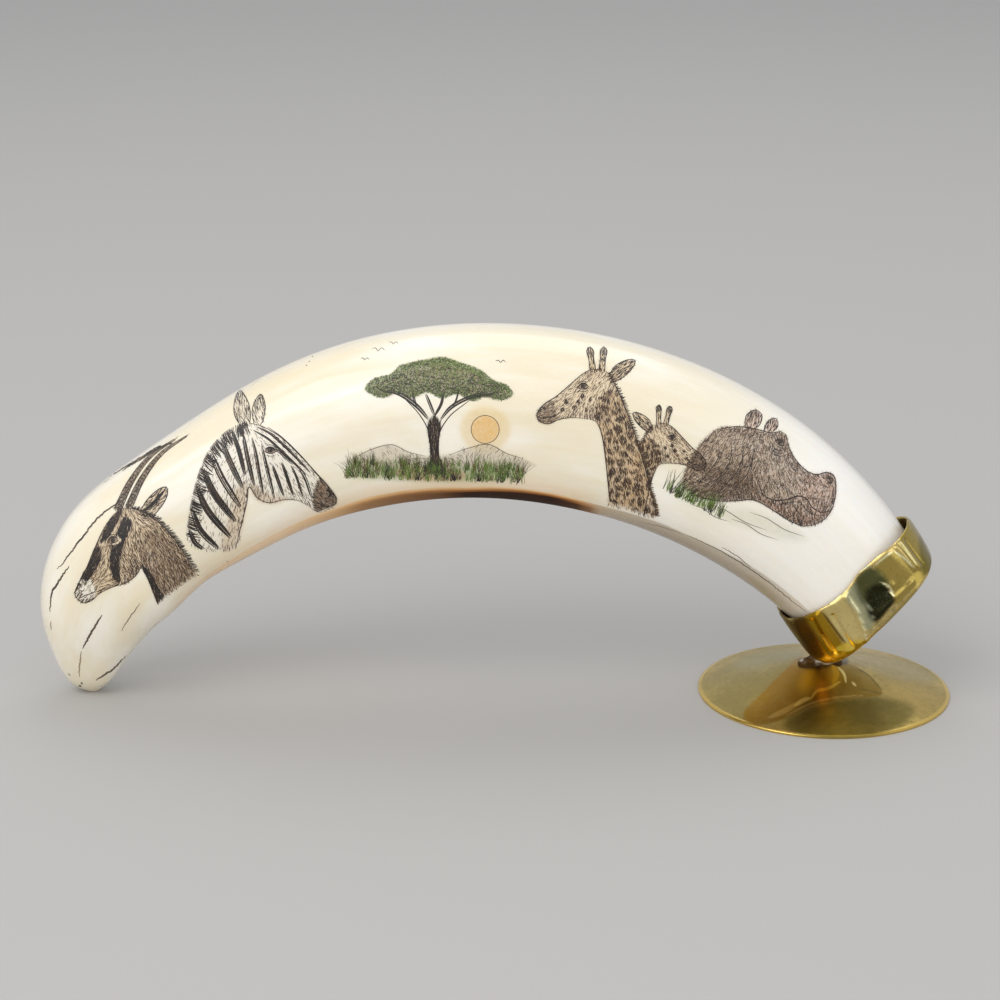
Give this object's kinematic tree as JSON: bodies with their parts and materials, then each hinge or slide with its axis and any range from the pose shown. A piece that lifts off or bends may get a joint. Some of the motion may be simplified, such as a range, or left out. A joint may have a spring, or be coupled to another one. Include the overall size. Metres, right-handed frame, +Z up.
{
  "type": "scrimshaw tusk ornament",
  "caption": "Polished warthog tusk with a scrimshaw wildlife frieze, arching from a brass collar on a round brass foot down to its own tip.",
  "frame": {"origin": "on the surface that the ornament stands on, under the middle of its box", "axes": "+X from the tusk's tip towards the foot, +Z up, and the front with the frieze faces -Y"},
  "size_m": [0.2312, 0.064, 0.0963],
  "materials": {
    "ivory": "polished cream ivory with natural cracks, a brown stain along the inner edge and an engraved and tinted frieze on the front",
    "collar_brass": "old hand-beaten brass, polished on its high spots and olive where it has tarnished",
    "foot_brass": "satin spun brass with fine turning lines and a dull olive patina",
    "solder": "rough hard solder, silver-grey with dark stains"
  },
  "bodies": {
    "root": {"tusk": "ivory", "brass_collar": "collar_brass", "brass_foot": "foot_brass", "solder_joint": "solder"}
  },
  "joints": []
}
